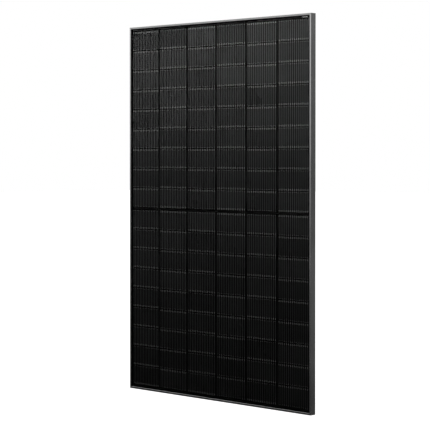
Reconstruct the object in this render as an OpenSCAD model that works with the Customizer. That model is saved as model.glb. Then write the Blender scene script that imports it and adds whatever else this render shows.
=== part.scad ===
// Photovoltaic module: 108 half-cut cells under glass, in a black anodised aluminium frame, with
// three split junction boxes on its back. It stands upright: +Z runs along the long rails, the
// glass faces -Y, and the frame's rear mounting plane is y = 0. The origin is the centre of the
// mounting holes. Depths are counted forwards from the rear plane, and heights inside a junction
// box are counted backwards from the backsheet.

/* [Module] */
// Width across the frame
panel_w = 1134; // [945:1:1361]
// Height along the long rails
panel_h = 1722; // [1435:1:2066]
// Depth of the frame, from the front lip to the rear flange
frame_depth = 30; // [25:0.5:36]

/* [Frame] */
// Wall of the extrusion
rail_wall = 1.6; // [1.2:0.1:2]
// Thickness of the rear flange
flange_t = 1.8; // [1.4:0.1:2.4]
// Reach of the rear flange on the two long rails
long_flange_w = 30; // [26:0.5:36]
// Reach of the rear flange on the two short rails
short_flange_w = 20; // [15:0.5:26]
// Outer width of the hollow chamber
chamber_w = 10.5; // [8:0.1:13]
// Width of the front lip that holds the glass
lip_w = 8.5; // [7:0.1:11]
// Thickness of the front lip
lip_t = 1.6; // [1.2:0.1:2.2]
// Bevel on the lip's inner edge
lip_bevel = 0.6; // [0.2:0.1:1]
// Bevel on the frame's outer front edge
corner_bevel = 0.4; // [0.2:0.1:1]
// Open joint between two mitred rails
mitre_gap = 0.1; // [0.05:0.05:0.3]
// Length of a corner key's arm, from the frame's outer corner
key_arm = 62; // [40:1:80]
// Free play between a corner key and the chamber's side walls
key_gap = 0.2; // [0.1:0.05:0.4]
// Pitch of the corner key's barbs
barb_pitch = 6; // [4:0.5:8]
// Depth of the corner key's barbs
barb_d = 1.2; // [0.6:0.1:1.6]

/* [Holes in the frame] */
// Length of a mounting slot
slot_l = 14; // [11:0.5:18]
// Width of a mounting slot
slot_w = 9; // [7:0.5:10]
// Centre line of the mounting holes, from the frame's outer side
slot_from_side = 20; // [18:0.5:22]
// Outer mounting slots, from the end of the long rail
outer_slot_from_end = 161; // [120:1:200]
// Inner mounting slots, from the end of the long rail
inner_slot_from_end = 466; // [380:1:560]
// Diameter of a grounding hole
ground_hole_d = 4.2; // [3.5:0.1:6]
// Grounding holes, from the end of the long rail
ground_hole_from_end = 261; // [230:1:340]
// Diameter of a drain hole in the chamber's rear wall
drain_hole_d = 5; // [3:0.5:6]
// Drain holes, from the end of the rail
drain_hole_from_end = 90; // [85:1:110]

/* [Glass and sealant] */
// Distance from the frame's outer side to the edge of the glass
glass_inset = 3; // [2.6:0.1:4]
// Thickness of the glass
glass_t = 3.2; // [2:0.1:4]
// Cut across each corner of the glass
glass_corner_cut = 3; // [1:0.5:5]
// Sealant between the glass and the lip
bead_t = 0.5; // [0.3:0.1:1]
// Sealant between the backsheet and its seat
bed_t = 0.8; // [0.4:0.1:1.2]
// Distance that the front sealant stays back from the lip's edge
bead_setback = 0.8; // [0.4:0.1:2]
// Sealant squeezed out past the seat, along the backsheet
squeeze_w = 1.5; // [0.5:0.1:3]
// Thickness of each encapsulant sheet
encapsulant_t = 0.45; // [0.3:0.05:0.7]
// Thickness of the backsheet
backsheet_t = 0.3; // [0.2:0.05:0.5]

/* [Cells] */
// Distance from the frame's outer side to the first column of cells
side_margin = 13.5; // [12:0.5:20]
// Distance from the frame's outer end to the first row of cells
end_margin = 22; // [20:0.5:30]
// Gap between two columns
column_gap = 3; // [2:0.25:5]
// Gap between two rows
row_gap = 1.75; // [1:0.25:3]
// Gap between the upper and the lower half
centre_gap = 12; // [9:0.5:18]
// Thickness of a cell
cell_t = 0.18; // [0.12:0.01:0.25]
// Cut across the two corners of a half-cell that come from the round ingot
cell_corner_cut = 4; // [1:0.5:8]

/* [Wires and ribbons] */
// Width of a wire
wire_w = 0.35; // [0.25:0.05:0.6]
// Thickness of a wire
wire_t = 0.25; // [0.15:0.05:0.4]
// Distance from a cell's side to its first wire
wire_edge = 9.25; // [6:0.25:11]
// Distance between the ends of the upper and the lower wires on the centre ribbon
wire_end_gap = 1; // [0.5:0.1:2]
// Width of a bus ribbon
ribbon_w = 5; // [4:0.5:6]
// Thickness of a bus ribbon
ribbon_t = 0.35; // [0.25:0.05:0.4]
// Gap between the last cell and the bus ribbon
ribbon_gap = 3; // [2:0.5:4]
// Length of a bus ribbon past its last wire
ribbon_overhang = 3; // [1:0.5:4]

/* [Junction boxes] */
// Length of a junction box's base
box_l = 76; // [63:1:92]
// Width of a junction box's base
box_w = 32; // [27:1:40]
// Corner radius of the base
box_r = 4; // [3:0.5:6]
// Wall of the base
box_wall = 2; // [1.6:0.1:2.6]
// Floor of the base
floor_t = 1.6; // [1.2:0.1:2]
// Width of the foot along each side of the base
foot_w = 3; // [2:0.5:5]
// Thickness of the foot
foot_t = 1.6; // [1.2:0.1:2]
// Thickness of the adhesive under the foot
adhesive_t = 1; // [0.6:0.1:1.5]
// Thickness of the gasket between the rim and the lid
gasket_t = 0.8; // [0.5:0.1:1]
// Width of the gasket
gasket_w = 1.2; // [0.8:0.1:1.4]
// Thickness of the lid's plate
lid_t = 2.2; // [1.6:0.1:2.6]
// Free play between the lid and the base
lid_gap = 0.4; // [0.3:0.05:0.6]
// Thickness of the lid's skirt and tabs
skirt_t = 1.2; // [1:0.1:1.6]
// Depth of the lid's inner skirt below the gasket
skirt_d = 1.4; // [1:0.1:2]
// Length of each side tab of the lid
tab_l = 26; // [18:1:36]
// Depth of the lid's side tabs below the rim
tab_d = 6; // [4:0.5:7]
// Height of the grip ribs on the lid
grip_h = 0.6; // [0.3:0.1:0.8]
// Clearance around the ribbons where they pass into a box
slit_clearance = 1.5; // [1:0.1:2.5]

/* [Terminals and diodes] */
// Height of the terminal plates above the backsheet
terminal_h = 4; // [3.3:0.1:4.8]
// Thickness of a terminal plate
terminal_t = 0.8; // [0.5:0.1:1]
// Width of a terminal plate
terminal_w = 14; // [10:1:18]
// Gap between a terminal plate and the end wall
terminal_end_gap = 2; // [1:0.5:4]
// Outer radius of the crimp barrel that takes the cable's core
barrel_r = 2.4; // [2:0.1:2.9]
// Bore radius of the crimp barrel
barrel_bore_r = 1.5; // [1:0.1:1.8]
// Length of the crimp barrel
barrel_l = 9; // [6:0.5:12]
// Length of a diode's body
diode_l = 12; // [9:0.5:14]
// Width of a diode's body
diode_w = 7; // [5:0.5:8]
// Height of a diode's body
diode_h = 4.5; // [3:0.5:6]
// Width of a diode's legs
leg_w = 1.6; // [1:0.1:2]
// Thickness of a diode's legs
leg_t = 0.6; // [0.4:0.1:1]

/* [Cable glands] */
// Diameter of the cable that the seal grips
cable_d = 6; // [5:0.1:7.2]
// Free play around the cable where it isn't gripped
cable_play = 0.5; // [0.3:0.1:0.8]
// Wall of the seal
seal_wall = 1.2; // [0.9:0.1:1.5]
// Length of the seal inside the gland's body
seal_l = 6; // [4:0.5:8]
// Thickness of the seal's collar
seal_collar_t = 1.2; // [0.8:0.1:2]
// Wall of the body around the seal
spigot_wall = 0.9; // [0.7:0.1:1.2]
// Wall of the body where it passes through the base
root_wall = 1.1; // [0.8:0.1:1.4]
// Length of the body outside the base
spigot_l = 10; // [9:0.5:13]
// Thickness of the body's flange against the base
gland_flange_t = 1.5; // [1:0.1:2]
// Wall of the nut
nut_wall = 1.2; // [1:0.1:1.5]
// Thickness of the nut's front wall
nut_front_t = 1.6; // [1:0.1:2.5]
// Free play between gland pieces that turn inside each other
thread_gap = 0.1; // [0.05:0.05:0.2]
// Gap between the nut and the flange
nut_gap = 0.5; // [0.3:0.1:1.5]
// Clearance of the nut above the backsheet and below the lid
nut_clearance = 0.7; // [0.3:0.1:1]
// Number of finger flutes on the nut
flutes = 10; // [6:1:12]
// Radius of a finger flute
flute_r = 0.9; // [0.5:0.1:1.1]

/* [Labels] */
// Width of the serial label under the glass
serial_label_w = 28; // [20:1:40]
// Height of the serial label
serial_label_h = 4; // [3:0.5:5]
// Distance from the frame's outer side to the serial label
serial_label_from_side = 25; // [15:1:60]
// Distance from the frame's top to the serial label's centre line
serial_label_from_top = 14.5; // [13:0.5:17]
// Width of the rating label on the backsheet
rating_label_w = 130; // [90:5:160]
// Height of the rating label
rating_label_h = 80; // [60:5:120]
// Height of the rating label's centre above the centre line
rating_label_z = 190; // [120:5:400]
// Thickness of both labels
label_t = 0.1; // [0.05:0.05:0.2]

/* [Hidden] */
$fn = 48;

columns = 6;       // strings side by side
rows = 9;          // half-cells in a string
wires = 16;        // wires across a cell
cut = 1;           // how far a cutter runs past the face it opens
UPPER = 1;
LOWER = -1;
LEFT = -1;
RIGHT = 1;

anodised_black = "#1b1b1d";
mill_aluminium = "#b9bcc0";
silicone_black = "#101011";
glass_tint = [0.55, 0.62, 0.66, 0.25];
encapsulant_tint = [0.85, 0.87, 0.88, 0.35];
cell_blue_black = "#12151c";
tin = "#a9abad";
black_coating = "#17181a";
backsheet_black = "#0c0c0d";
box_black = "#141416";
seal_grey = "#2a2a2c";
label_white = "#e9e9e6";

// Depths of the layers, from the lip back to the seat
lip_under = frame_depth - lip_t;
glass_front = lip_under - bead_t;
glass_rear = glass_front - glass_t;
wire_front = glass_rear - encapsulant_t;
cell_front = wire_front - wire_t;
cell_rear = cell_front - cell_t;
ribbon_rear = cell_front - ribbon_t;
rear_encapsulant_front = min(cell_rear - wire_t, ribbon_rear);
sheet_front = rear_encapsulant_front - encapsulant_t;
sheet_rear = sheet_front - backsheet_t;
seat = sheet_rear - bed_t;

// Cell field
cell_w = (panel_w - 2 * side_margin - (columns - 1) * column_gap) / columns;
half_h = (panel_h - centre_gap) / 2 - end_margin;
cell_h = (half_h - (rows - 1) * row_gap) / rows;
wire_pitch = (cell_w - 2 * wire_edge) / (wires - 1);
field_top = centre_gap / 2 + half_h;
ribbon_start = field_top + ribbon_gap;

// Ribbon ends beside a column's edge, and the tabs that lead into the boxes
ribbon_setback = wire_edge - ribbon_overhang;
tab_inner = column_gap / 2 + ribbon_setback;
tab_outer = tab_inner + ribbon_w;
slit_l = 2 * (tab_outer + slit_clearance);
slit_w = ribbon_t + 2 * slit_clearance;

// Junction boxes: over the gaps between columns 1-2, 3-4 and 5-6
column_pitch = cell_w + column_gap;
box_pitch = 2 * column_pitch;
seal_bore_r = cable_d / 2;
passage_r = seal_bore_r + cable_play;
root_r = passage_r + root_wall;
seal_r = seal_bore_r + seal_wall;
spigot_r = seal_r + thread_gap + spigot_wall;
nut_r = spigot_r + thread_gap + nut_wall;
gland_h = nut_r + nut_clearance;
floor_h = adhesive_t + floor_t;
lid_under = gland_h + nut_r + nut_clearance;
rim_h = lid_under - gasket_t;
lid_top = lid_under + lid_t;
terminal_top = terminal_h + terminal_t;
plate_end = box_l / 2 - box_wall - terminal_end_gap;
spigot_end = box_l / 2 + spigot_l;
collar_end = spigot_end + seal_collar_t;
nut_start = box_l / 2 + gland_flange_t + nut_gap;
nut_end = collar_end + nut_front_t;

function column_x(c) = (c - (columns + 1) / 2) * column_pitch;
function row_z(r) = centre_gap / 2 + cell_h / 2 + r * (cell_h + row_gap);

// ---- Helpers ----

// Extrudes an X-Z outline between two depths
module layer(near, far) {
    rotate([90, 0, 0])
        translate([0, 0, near])
            linear_extrude(height = far - near)
                children();
}

// Extrudes an X-Z outline between two heights above the backsheet
module box_layer(low, high) {
    layer(sheet_rear - high, sheet_rear - low)
        children();
}

// Rectangle that stays inside the module's outline by a margin
module inset_outline(margin) {
    square([panel_w - 2 * margin, panel_h - 2 * margin], center = true);
}

module rounded_rect(l, w, r) {
    square([l - 2 * r, w], center = true);
    square([l, w - 2 * r], center = true);
    for (x = [-1, 1], y = [-1, 1])
        translate([x * (l / 2 - r), y * (w / 2 - r)])
            circle(r = r);
}

module ring(l, w, r, wall) {
    difference() {
        rounded_rect(l, w, r);
        rounded_rect(l - 2 * wall, w - 2 * wall, r - wall / 2);
    }
}

// Rod along X
module x_rod(start, end, r) {
    translate([start, 0, 0])
        rotate([0, 90, 0])
            cylinder(r = r, h = end - start);
}

// Tube along X, open at both ends
module x_tube(start, end, outer_r, inner_r) {
    difference() {
        x_rod(start, end, outer_r);
        x_rod(start - cut, end + cut, inner_r);
    }
}

// ---- Frame ----

// Section of a rail: x runs inwards from the outer face, and -y forwards
module rail_section(flange_w) {
    difference() {
        polygon([
            [0, 0],
            [flange_w, 0],
            [flange_w, -flange_t],
            [chamber_w, -flange_t],
            [chamber_w, -seat],
            [rail_wall, -seat],
            [rail_wall, -lip_under],
            [lip_w, -lip_under],
            [lip_w, lip_bevel - frame_depth],
            [lip_w - lip_bevel, -frame_depth],
            [corner_bevel, -frame_depth],
            [0, corner_bevel - frame_depth]
        ]);
        translate([rail_wall, rail_wall - seat])
            square([chamber_w - 2 * rail_wall, seat - rail_wall - flange_t]);
    }
}

// Rail along Z with its outer face on x = 0, cut to a mitre at both ends
module mitred_rail(length, flange_w) {
    half = (length - mitre_gap) / 2;
    reach = flange_w + cut;
    intersection() {
        linear_extrude(height = length, center = true)
            rail_section(flange_w);
        layer(-cut, frame_depth + cut)
            polygon([[-cut, -half - cut], [reach, reach - half], [reach, half - reach], [-cut, half + cut]]);
    }
}

// Cutter through the rear flange, for an X-Z outline
module flange_cut() {
    layer(-cut, flange_t + cut)
        children();
}

module slot_outline() {
    straight = slot_l - slot_w;
    square([slot_w, straight], center = true);
    for (end = [-1, 1])
        translate([0, end * straight / 2])
            circle(d = slot_w);
}

module drain_cuts(length) {
    for (end = [-1, 1])
        flange_cut()
            translate([chamber_w / 2, end * (length / 2 - drain_hole_from_end)])
                circle(d = drain_hole_d);
}

module long_rail() {
    difference() {
        mitred_rail(panel_h, long_flange_w);
        for (end = [-1, 1], from_end = [outer_slot_from_end, inner_slot_from_end])
            flange_cut()
                translate([slot_from_side, end * (panel_h / 2 - from_end)])
                    slot_outline();
        for (end = [-1, 1])
            flange_cut()
                translate([slot_from_side, end * (panel_h / 2 - ground_hole_from_end)])
                    circle(d = ground_hole_d);
        drain_cuts(panel_h);
    }
}

module short_rail() {
    difference() {
        mitred_rail(panel_w, short_flange_w);
        drain_cuts(panel_w);
    }
}

module frame_rail_side(side) {
    color(anodised_black)
        mirror([side == LEFT ? 0 : 1, 0, 0])
            translate([-panel_w / 2, 0, 0])
                long_rail();
}

module frame_rail_end(end) {
    color(anodised_black)
        mirror([0, 0, end == LOWER ? 0 : 1])
            translate([0, 0, -panel_h / 2])
                rotate([0, -90, 0])
                    short_rail();
}

// Barbed inner edge of one arm, from its tip towards the corner
function barbs(inner) = [
    for (i = [0 : floor((key_arm - inner) / barb_pitch) - 2])
        for (d = [0, barb_d])
            [key_arm - (i + 1) * barb_pitch, inner - d]
];

function swapped(points) = [for (i = [len(points) - 1 : -1 : 0]) [points[i].y, points[i].x]];

// L-shaped key that fills the chambers of two rails across their mitre
module corner_key(side, end) {
    outer = rail_wall + key_gap;
    inner = chamber_w - rail_wall - key_gap;
    arm = concat([[key_arm, outer], [key_arm, inner]], barbs(inner), [[inner, inner]]);
    color(mill_aluminium)
        mirror([side == LEFT ? 0 : 1, 0, 0])
            mirror([0, 0, end == LOWER ? 0 : 1])
                translate([-panel_w / 2, 0, -panel_h / 2])
                    layer(flange_t, seat - rail_wall)
                        polygon(concat([[outer, outer]], arm, swapped([for (i = [0 : len(arm) - 2]) arm[i]])));
}

// Silicone that beds the laminate in the groove all round
module frame_sealant() {
    color(silicone_black)
        difference() {
            layer(seat, lip_under)
                inset_outline(rail_wall);
            layer(sheet_rear, glass_front)
                glass_outline();
            layer(glass_front - cut, frame_depth)
                inset_outline(lip_w - bead_setback);
            layer(0, sheet_rear + cut)
                inset_outline(chamber_w + squeeze_w);
        }
}

// ---- Laminate ----

module glass_outline() {
    x = panel_w / 2 - glass_inset;
    z = panel_h / 2 - glass_inset;
    c = glass_corner_cut;
    polygon([
        [c - x, -z], [x - c, -z], [x, c - z], [x, z - c],
        [x - c, z], [c - x, z], [-x, z - c], [-x, c - z]
    ]);
}

module front_glass() {
    color(glass_tint)
        layer(glass_rear, glass_front)
            glass_outline();
}

module serial_label_outline() {
    translate([
        panel_w / 2 - serial_label_from_side - serial_label_w,
        panel_h / 2 - serial_label_from_top - serial_label_h / 2
    ])
        square([serial_label_w, serial_label_h]);
}

module front_encapsulant() {
    color(encapsulant_tint)
        difference() {
            layer(wire_front, glass_rear)
                glass_outline();
            layer(glass_rear - label_t, glass_rear + cut)
                serial_label_outline();
        }
}

// Slits that let the ribbons' tabs through to the three boxes
module ribbon_slits() {
    for (b = [-1 : 1])
        translate([b * box_pitch, 0])
            square([slit_l, slit_w], center = true);
}

module rear_encapsulant() {
    color(encapsulant_tint)
        layer(sheet_front, rear_encapsulant_front)
            difference() {
                glass_outline();
                ribbon_slits();
            }
}

module backsheet() {
    color(backsheet_black)
        layer(sheet_rear, sheet_front)
            difference() {
                glass_outline();
                ribbon_slits();
            }
}

// Half of a wafer: the cut edge is straight, and the far corners are clipped
module half_cell_outline() {
    x = cell_w / 2;
    z = cell_h / 2;
    c = cell_corner_cut;
    polygon([[-x, -z], [x, -z], [x, z - c], [x - c, z], [c - x, z], [-x, z - c]]);
}

module cell_string(c, half) {
    color(cell_blue_black)
        mirror([0, 0, half == UPPER ? 0 : 1])
            for (r = [0 : rows - 1])
                translate([column_x(c), 0, row_z(r)])
                    layer(cell_rear, cell_front)
                        half_cell_outline();
}

// Wires of one string, from the centre ribbon to the end ribbon
module string_wires(c, half) {
    start = wire_end_gap / 2;
    length = ribbon_start + ribbon_w - start;
    color(tin)
        mirror([0, 0, half == UPPER ? 0 : 1])
            layer(cell_front, wire_front)
                for (i = [0 : wires - 1])
                    translate([column_x(c) - cell_w / 2 + wire_edge + i * wire_pitch - wire_w / 2, start])
                        square([wire_w, length]);
}

// Ribbon across columns a to b, with its lower edge at height z
module ribbon(a, b, z) {
    reach = cell_w / 2 - ribbon_setback;
    start = column_x(a) - reach;
    layer(ribbon_rear, cell_front)
        translate([start, z])
            square([column_x(b) + reach - start, ribbon_w]);
}

// Each end ribbon joins the two strings of a pair
module bus_ribbons_end(half) {
    color(black_coating)
        mirror([0, 0, half == UPPER ? 0 : 1])
            for (a = [1 : 2 : columns - 1])
                ribbon(a, a + 1, ribbon_start);
}

// Centre ribbons, with a tab at each end that goes through the backsheet into a box
module bus_ribbons_centre() {
    color(black_coating) {
        for (span = [[1, 1], [2, 3], [4, 5], [6, 6]])
            ribbon(span.x, span.y, -ribbon_w / 2);
        for (b = [-1 : 1], side = [LEFT, RIGHT])
            translate([b * box_pitch + side * (tab_inner + tab_outer) / 2, 0, 0])
                layer(sheet_rear - terminal_top, ribbon_rear)
                    square([ribbon_w, ribbon_t], center = true);
    }
}

module serial_label() {
    color(label_white)
        layer(glass_rear - label_t, glass_rear)
            serial_label_outline();
}

module rating_label() {
    color(label_white)
        translate([0, 0, rating_label_z])
            box_layer(0, label_t)
                square([rating_label_w, rating_label_h], center = true);
}

// ---- Junction boxes ----

module at_box(b) {
    translate([b * box_pitch, 0, 0])
        children();
}

// Places a shape drawn around the X axis on the axis of a gland
module on_gland_axis() {
    translate([0, gland_h - sheet_rear, 0])
        children();
}

module foot_outline() {
    rounded_rect(box_l, box_w + 2 * foot_w, box_r);
}

// Base without a gland: an open tray with a foot and two rests for the terminals
module plain_base() {
    difference() {
        union() {
            box_layer(adhesive_t, adhesive_t + foot_t)
                foot_outline();
            box_layer(adhesive_t, rim_h)
                rounded_rect(box_l, box_w, box_r);
        }
        box_layer(floor_h, rim_h + cut)
            rounded_rect(box_l - 2 * box_wall, box_w - 2 * box_wall, box_r - box_wall / 2);
        box_layer(0, floor_h + cut)
            square([slit_l, slit_w], center = true);
    }
    for (side = [LEFT, RIGHT])
        translate([side * (slit_l / 2 + plate_end) / 2, 0, 0])
            box_layer(floor_h - cut, terminal_h)
                square([plate_end - slit_l / 2, terminal_w / 2], center = true);
}

// Base with a hole for the cable gland in its +X end
module gland_base() {
    difference() {
        plain_base();
        on_gland_axis()
            x_rod(box_l / 2 - box_wall - cut, box_l / 2 + cut, root_r + thread_gap);
    }
}

module jbox_base(b) {
    color(box_black)
        at_box(b)
            if (b == 0)
                plain_base();
            else
                mirror([b == LEFT ? 1 : 0, 0, 0])
                    gland_base();
}

module jbox_lid(b) {
    tab_z = box_w / 2 + lid_gap;
    color(box_black)
        at_box(b) {
            box_layer(lid_under, lid_top)
                rounded_rect(box_l, box_w + 2 * (lid_gap + skirt_t), box_r);
            box_layer(rim_h - skirt_d, lid_under + cut)
                ring(box_l - 2 * (box_wall + lid_gap), box_w - 2 * (box_wall + lid_gap), box_r - box_wall, skirt_t);
            for (side = [-1, 1])
                translate([0, 0, side * (tab_z + skirt_t / 2)])
                    box_layer(rim_h - tab_d, lid_under + cut)
                        square([tab_l, skirt_t], center = true);
            for (side = [-1, 1], i = [0 : 2])
                translate([side * (box_l / 2 - 2 * box_r - i * box_r / 2), 0, 0])
                    box_layer(lid_top - cut, lid_top + grip_h)
                        square([box_r / 4, box_w / 2], center = true);
        }
}

module lid_gaskets() {
    margin = (box_wall - gasket_w) / 2;
    color(seal_grey)
        for (b = [-1 : 1])
            at_box(b)
                box_layer(rim_h, lid_under)
                    ring(box_l - 2 * margin, box_w - 2 * margin, box_r - margin, gasket_w);
}

module jbox_adhesive() {
    color(silicone_black)
        for (b = [-1 : 1])
            at_box(b)
                box_layer(0, adhesive_t)
                    difference() {
                        foot_outline();
                        square([slit_l, slit_w], center = true);
                    }
}

// Plate on the +X side of a box, from the ribbon's tab to the end wall
module terminal_plate() {
    box_layer(terminal_h, terminal_top)
        translate([tab_outer, -terminal_w / 2])
            square([plate_end - tab_outer, terminal_w]);
}

// Plate with a barrel in line with the gland, for the core of the cable
module cable_plate() {
    start = plate_end - barrel_l;
    terminal_plate();
    difference() {
        union() {
            on_gland_axis()
                x_rod(start, plate_end, barrel_r);
            box_layer(terminal_top, gland_h)
                translate([start, -barrel_r])
                    square([barrel_l, 2 * barrel_r]);
        }
        on_gland_axis()
            x_rod(start - cut, plate_end + cut, barrel_bore_r);
    }
}

module jbox_terminals(b) {
    color(tin)
        at_box(b)
            for (side = [LEFT, RIGHT])
                mirror([side == LEFT ? 1 : 0, 0, 0])
                    if (side == b)
                        cable_plate();
                    else
                        terminal_plate();
}

// Diode beside the ribbons' tabs, with a leg on each terminal plate
module bypass_diodes() {
    leg_end = tab_outer + leg_w * 2;
    diode_z = slit_w / 2 + diode_w / 2;
    color(box_black)
        for (b = [-1 : 1])
            at_box(b)
                translate([0, 0, diode_z]) {
                    box_layer(floor_h, floor_h + diode_h)
                        square([diode_l, diode_w], center = true);
                    box_layer(terminal_top, terminal_top + leg_t)
                        square([2 * leg_end, leg_w], center = true);
                }
}

// ---- Cable glands ----

module at_glands() {
    for (b = [LEFT, RIGHT])
        at_box(b)
            mirror([b == LEFT ? 1 : 0, 0, 0])
                on_gland_axis()
                    children();
}

// Body screwed into the base, with a seat for the seal
module gland_bodies() {
    color(box_black)
        at_glands()
            difference() {
                union() {
                    x_rod(box_l / 2 - box_wall, spigot_end, root_r);
                    x_rod(box_l / 2, box_l / 2 + gland_flange_t, nut_r);
                    x_rod(box_l / 2, spigot_end, spigot_r);
                }
                x_rod(box_l / 2 - box_wall - cut, spigot_end + cut, passage_r);
                x_rod(spigot_end - seal_l, spigot_end + cut, seal_r + thread_gap);
            }
}

// Rubber sleeve with a collar that the nut presses on the body
module gland_seals() {
    color(seal_grey)
        at_glands() {
            x_tube(spigot_end - seal_l, collar_end, seal_r, seal_bore_r);
            x_tube(spigot_end, collar_end, spigot_r, seal_bore_r);
        }
}

// Fluted cap nut over the body
module gland_nuts() {
    color(box_black)
        at_glands()
            difference() {
                x_rod(nut_start, nut_end, nut_r);
                x_rod(nut_start - cut, collar_end, spigot_r + thread_gap);
                x_rod(collar_end - cut, nut_end + cut, passage_r);
                for (i = [0 : flutes - 1])
                    rotate([i * 360 / flutes, 0, 0])
                        translate([0, nut_r + flute_r / 2, 0])
                            x_rod(nut_start - cut, nut_end + cut, flute_r);
            }
}

// ---- Nodes ----

frame_rail_side(LEFT);  // frame_rail_left
frame_rail_side(RIGHT);  // frame_rail_right
frame_rail_end(UPPER);  // frame_rail_top
frame_rail_end(LOWER);  // frame_rail_bottom
corner_key(LEFT, UPPER);  // corner_key_top_left
corner_key(RIGHT, UPPER);  // corner_key_top_right
corner_key(LEFT, LOWER);  // corner_key_bottom_left
corner_key(RIGHT, LOWER);  // corner_key_bottom_right
frame_sealant();
front_glass();
front_encapsulant();
rear_encapsulant();
backsheet();
for (c = [1 : columns]) {
    cell_string(c, UPPER);
    cell_string(c, LOWER);
    string_wires(c, UPPER);
    string_wires(c, LOWER);
}
bus_ribbons_end(UPPER);  // bus_ribbons_top
bus_ribbons_centre();
bus_ribbons_end(LOWER);  // bus_ribbons_bottom
serial_label();
rating_label();
jbox_base(LEFT);  // jbox_base_left
jbox_base(0);  // jbox_base_centre
jbox_base(RIGHT);  // jbox_base_right
jbox_lid(LEFT);  // jbox_lid_left
jbox_lid(0);  // jbox_lid_centre
jbox_lid(RIGHT);  // jbox_lid_right
jbox_terminals(LEFT);  // jbox_terminals_left
jbox_terminals(0);  // jbox_terminals_centre
jbox_terminals(RIGHT);  // jbox_terminals_right
jbox_adhesive();
lid_gaskets();
bypass_diodes();
gland_bodies();
gland_seals();
gland_nuts();
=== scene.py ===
# %% [markdown]
# # A photovoltaic module, cell by cell
# The real module is a sheet of solar glass with 108 half-cut silicon cells laminated behind it.
# A black anodised aluminium frame goes round the laminate, and three small junction boxes sit on its back.
# The CAD frame already holds every solid at its true size, so this lesson adds the looks:
# finishes for the CAD pieces, and finer copies of the pieces whose detail is what the eye picks up.

import math

import bmesh
import bpy
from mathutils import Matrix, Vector


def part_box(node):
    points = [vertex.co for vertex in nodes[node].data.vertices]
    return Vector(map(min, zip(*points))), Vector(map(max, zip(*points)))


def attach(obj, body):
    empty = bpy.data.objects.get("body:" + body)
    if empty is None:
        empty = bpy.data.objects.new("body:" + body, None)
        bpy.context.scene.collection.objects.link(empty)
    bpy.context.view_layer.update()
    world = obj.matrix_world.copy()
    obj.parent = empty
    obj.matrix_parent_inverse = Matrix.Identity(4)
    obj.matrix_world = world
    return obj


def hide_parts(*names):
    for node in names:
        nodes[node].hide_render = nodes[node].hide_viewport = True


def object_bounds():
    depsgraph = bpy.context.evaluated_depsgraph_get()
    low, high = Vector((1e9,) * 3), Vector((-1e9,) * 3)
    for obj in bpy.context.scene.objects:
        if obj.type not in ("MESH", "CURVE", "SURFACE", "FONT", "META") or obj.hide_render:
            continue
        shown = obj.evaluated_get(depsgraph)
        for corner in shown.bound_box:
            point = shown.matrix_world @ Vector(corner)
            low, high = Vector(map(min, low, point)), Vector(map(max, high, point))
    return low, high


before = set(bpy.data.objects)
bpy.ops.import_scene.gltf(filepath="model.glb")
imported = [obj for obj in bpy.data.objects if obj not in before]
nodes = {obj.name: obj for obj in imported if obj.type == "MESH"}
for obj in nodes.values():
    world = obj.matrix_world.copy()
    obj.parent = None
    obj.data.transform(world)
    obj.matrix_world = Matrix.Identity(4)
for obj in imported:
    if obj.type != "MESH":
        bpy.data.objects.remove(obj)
cad_low, cad_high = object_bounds()
scene = bpy.context.scene
scene.view_settings.view_transform = "Standard"
print("CAD nodes:", len(nodes), "size:", [round(v, 4) for v in cad_high - cad_low])

# %% [markdown]
# Sizes come from the CAD boxes. Only what a box can't show, such as the gap between two rows of cells
# or the number of wires across a cell, is named here with the same value as in the CAD.

# %% Sizes
MM = 0.001
COLUMNS = 6
ROWS = 9
WIRES = 16
ROW_GAP = 1.75 * MM
WIRE_EDGE = 9.25 * MM
WIRE_WIDTH = 0.35 * MM
WIRE_THICKNESS = 0.25 * MM

string_low, string_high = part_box("cell_string_upper_1")
next_low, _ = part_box("cell_string_upper_2")
cell_width = string_high.x - string_low.x
column_pitch = next_low.x - string_low.x
field_start = string_low.z
field_end = string_high.z
cell_height = (field_end - field_start - (ROWS - 1) * ROW_GAP) / ROWS
row_pitch = cell_height + ROW_GAP
wire_pitch = (cell_width - 2 * WIRE_EDGE) / (WIRES - 1)
cell_front = string_low.y
cell_rear = string_high.y
front_run_y = cell_front - WIRE_THICKNESS / 2
rear_run_y = cell_rear + WIRE_THICKNESS / 2
wires_low, wires_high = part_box("string_wires_upper_1")
print("cell", round(cell_width / MM, 2), "x", round(cell_height / MM, 2), "mm, wire pitch",
      round(wire_pitch / MM, 2), "mm")

# %% [markdown]
# Both kinds of node tree, for materials and for geometry, are easier to read when one helper adds a node
# and joins its inputs at once. A second helper writes arithmetic.

# %% Node helpers
def put(tree, kind, sockets=(), **settings):
    """Adds a node. sockets pairs an input's name or number with a value or with another node's output."""
    node = tree.nodes.new(kind)
    for name, value in settings.items():
        setattr(node, name, value)
    for key, value in dict(sockets).items():
        if isinstance(value, bpy.types.NodeSocket):
            tree.links.new(value, node.inputs[key])
        else:
            node.inputs[key].default_value = value
    return node


def calc(tree, operation, *values, clamp=False):
    """One arithmetic step, in a shader tree or in a geometry tree."""
    node = put(tree, "ShaderNodeMath", enumerate(values), operation=operation, use_clamp=clamp)
    return node.outputs[0]


def times(tree, first, second):
    return calc(tree, "MULTIPLY", first, second)


def spread(tree, value, low, high, to_low, to_high):
    """Maps a value from one range to another and keeps it inside."""
    return put(tree, "ShaderNodeMapRange",
               [(0, value), (1, low), (2, high), (3, to_low), (4, to_high)]).outputs[0]


def place(tree):
    """The point on the piece, in metres, as three separate numbers."""
    point = put(tree, "ShaderNodeTexCoord").outputs["Object"]
    split = put(tree, "ShaderNodeSeparateXYZ", [(0, point)])
    return split.outputs["X"], split.outputs["Y"], split.outputs["Z"]


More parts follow.
